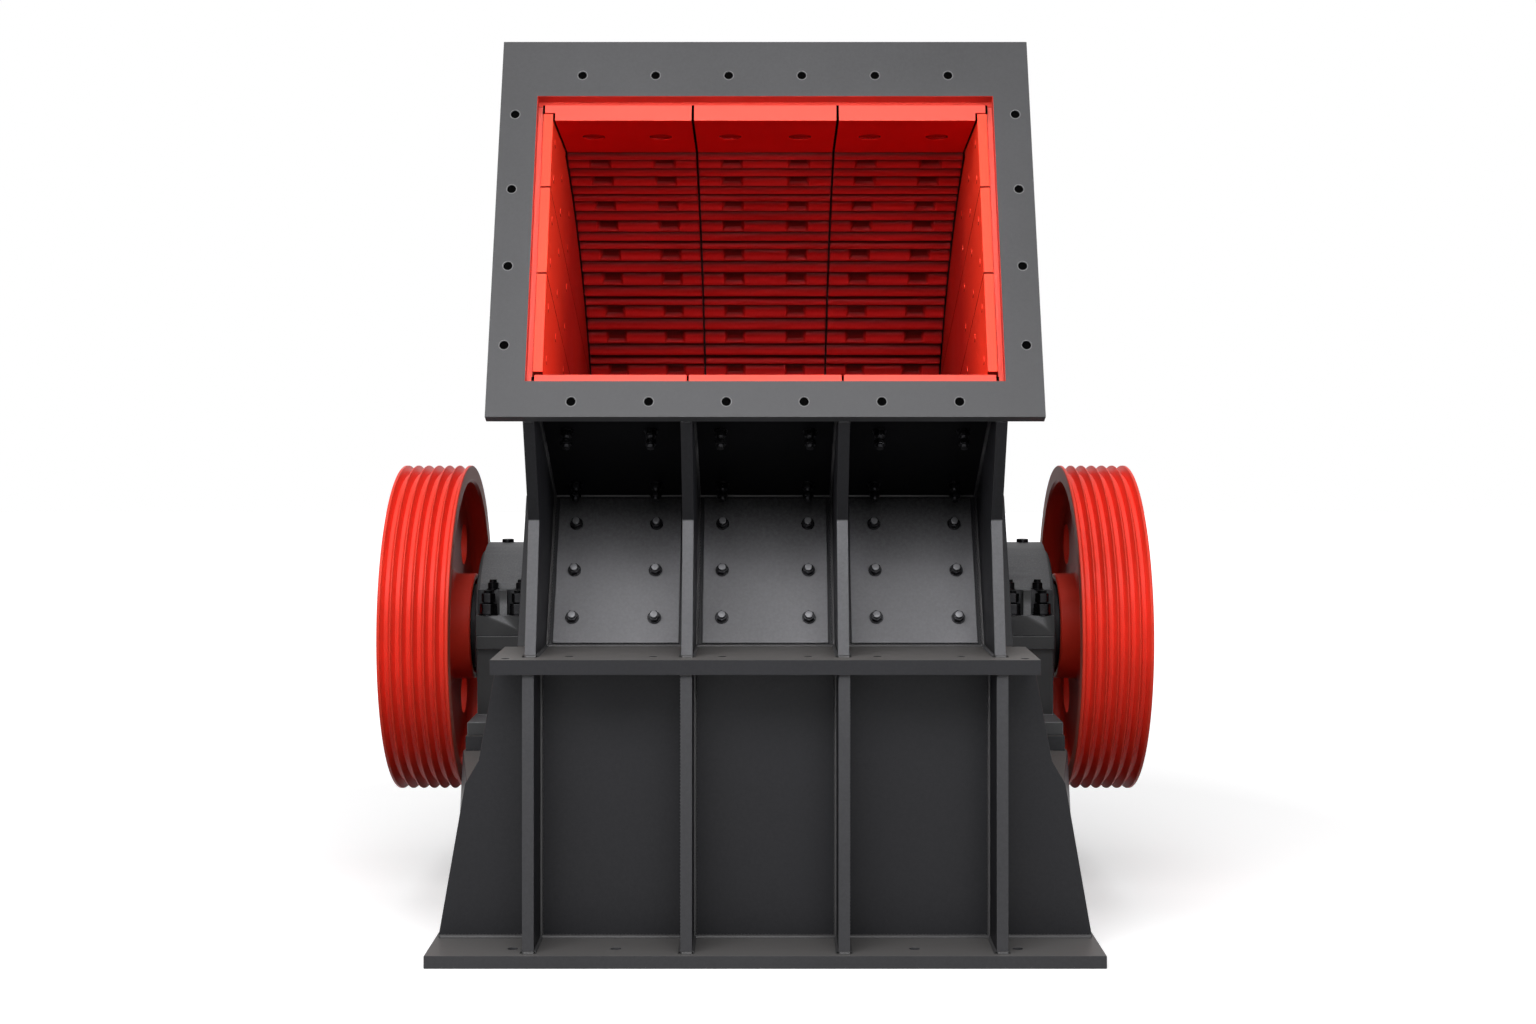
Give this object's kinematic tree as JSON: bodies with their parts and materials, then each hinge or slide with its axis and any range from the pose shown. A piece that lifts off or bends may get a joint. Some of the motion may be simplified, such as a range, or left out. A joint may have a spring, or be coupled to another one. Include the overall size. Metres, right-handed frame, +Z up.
{
  "type": "hammer crusher",
  "caption": "Hammer crusher with a welded ribbed casing, a flanged feed mouth with red ribbed liners, and a hammer rotor driven by grooved pulleys.",
  "frame": {"origin": "centre of the bounding box at the underside of the base plate", "axes": "+Z up, -Y towards the feed mouth, X along the rotor shaft"},
  "size_m": [2.5846, 2.592, 2.9339],
  "materials": {
    "charcoal_paint": "satin",
    "panel_paint": "satin",
    "liner_red": "satin",
    "bearing_casting": "matte",
    "pulley_red": "satin",
    "shaft_steel": "satin",
    "hammer_steel": "matte"
  },
  "bodies": {
    "frame": {"base_plate": "charcoal_paint", "split_flange_front": "charcoal_paint", "split_flange_rear": "charcoal_paint", "back_shell": "charcoal_paint", "lower_side_wall_left": "charcoal_paint", "lower_side_wall_right": "charcoal_paint", "upper_side_wall_left": "charcoal_paint", "upper_side_wall_right": "charcoal_paint", "lower_front_rib_1": "charcoal_paint", "lower_front_rib_2": "charcoal_paint", "lower_front_rib_3": "charcoal_paint", "lower_front_rib_4": "charcoal_paint", "lower_rear_rib_1": "charcoal_paint", "lower_rear_rib_2": "charcoal_paint", "lower_rear_rib_3": "charcoal_paint", "lower_rear_rib_4": "charcoal_paint", "upper_front_rib_1": "charcoal_paint", "upper_front_rib_2": "charcoal_paint", "upper_front_rib_3": "charcoal_paint", "upper_front_rib_4": "charcoal_paint", "back_rib_1": "charcoal_paint", "back_rib_2": "charcoal_paint", "back_rib_3": "charcoal_paint", "back_rib_4": "charcoal_paint", "pedestal_plate_left": "charcoal_paint", "pedestal_plate_right": "charcoal_paint", "lower_front_wall": "panel_paint", "lower_rear_wall": "panel_paint", "front_panel_lower": "panel_paint", "front_panel_upper": "panel_paint", "feed_flange": "panel_paint", "console_left": "panel_paint", "console_right": "panel_paint", "back_liner_left": "liner_red", "back_liner_middle": "liner_red", "back_liner_right": "liner_red", "side_liner_left": "liner_red", "side_liner_right": "liner_red", "front_liner_lower": "liner_red", "front_liner_upper": "liner_red", "bearing_base_left": "bearing_casting", "bearing_base_right": "bearing_casting", "bearing_cap_left": "bearing_casting", "bearing_cap_right": "bearing_casting", "bearing_end_cover_left": "bearing_casting", "bearing_end_cover_right": "bearing_casting"},
    "rotor": {"main_shaft": "shaft_steel", "rotor_disc_1": "hammer_steel", "rotor_disc_2": "hammer_steel", "rotor_disc_3": "hammer_steel", "rotor_disc_4": "hammer_steel", "hammer_row_1": "hammer_steel", "hammer_row_2": "hammer_steel", "hammer_row_3": "hammer_steel", "hammer_row_4": "hammer_steel", "pulley_left": "pulley_red", "pulley_right": "pulley_red"}
  },
  "joints": [
    {"name": "rotor_spin", "type": "hinge", "parent": "frame", "child": "rotor", "pos_m": [0, -0.20201, 0.947], "axis": [1, 0, 0], "continuous": true}
  ]
}
